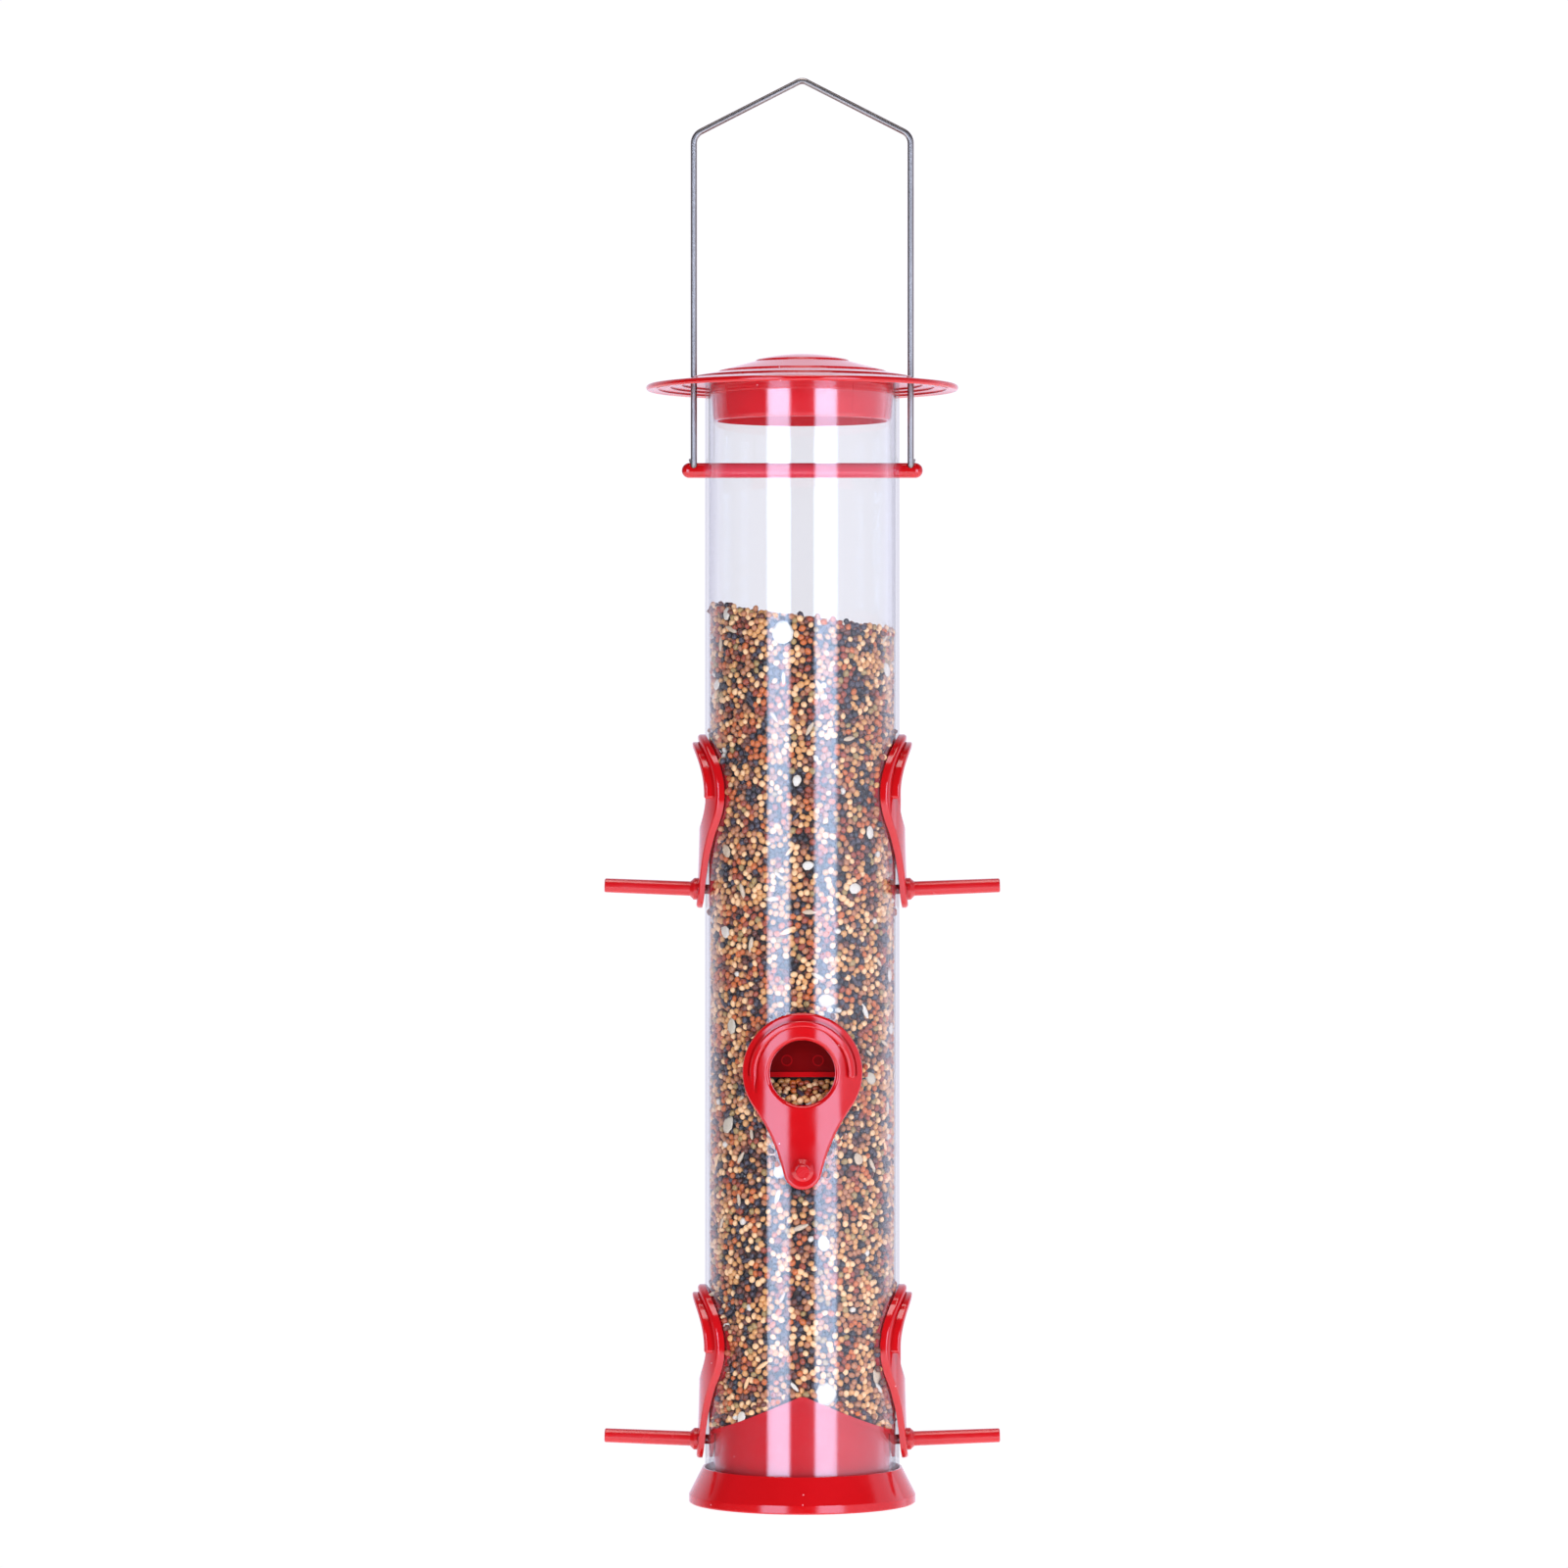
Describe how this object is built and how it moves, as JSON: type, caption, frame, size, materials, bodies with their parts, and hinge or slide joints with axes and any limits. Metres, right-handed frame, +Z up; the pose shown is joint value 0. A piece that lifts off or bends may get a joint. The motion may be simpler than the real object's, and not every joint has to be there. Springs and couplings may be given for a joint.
{
  "type": "hanging bird feeder",
  "caption": "Clear tube bird feeder with a red base, perches, teardrop feeding ports and a domed lid that slides up a wire hanger.",
  "frame": {"origin": "centre of the base's underside, on the tube's axis", "axes": "+Z up along the tube; X along the cross bar and through the left and right ports; -Y is the front, which the middle port faces"},
  "size_m": [0.1324, 0.1324, 0.4761],
  "materials": {
    "red_plastic": "glossy moulded red polypropylene",
    "clear_plastic": "clear extruded tube, glossy",
    "steel_wire": "bright zinc-plated wire",
    "mixed_seed": "loose mixed millet and small dark seed"
  },
  "bodies": {
    "feeder": {"tube": "clear_plastic", "base": "red_plastic", "seed_fill": "mixed_seed", "port_cover_lower_left": "red_plastic", "port_baffle_lower_left": "red_plastic", "perch_lower_left": "red_plastic", "port_cover_lower_right": "red_plastic", "port_baffle_lower_right": "red_plastic", "perch_lower_right": "red_plastic", "port_cover_middle_front": "red_plastic", "port_baffle_middle_front": "red_plastic", "perch_middle_front": "red_plastic", "port_cover_middle_back": "red_plastic", "port_baffle_middle_back": "red_plastic", "perch_middle_back": "red_plastic", "port_cover_upper_left": "red_plastic", "port_baffle_upper_left": "red_plastic", "perch_upper_left": "red_plastic", "port_cover_upper_right": "red_plastic", "port_baffle_upper_right": "red_plastic", "perch_upper_right": "red_plastic"},
    "hanger": {"hanger": "steel_wire", "cross_bar": "red_plastic"},
    "lid": {"lid": "red_plastic"}
  },
  "joints": [
    {"name": "hanger_swing", "type": "hinge", "parent": "feeder", "child": "hanger", "pos_m": [0, 0, 0.345], "axis": [-1, 0, 0], "range_deg": [0, 12.6]},
    {"name": "lid_lift", "type": "slide", "parent": "hanger", "child": "lid", "axis": [0, 0, 1], "range_m": [0, 0.078]}
  ],
  "couplings": [
    {"joint": "hanger_swing", "follows": "lid_lift", "rad_per_m": 2.8}
  ]
}
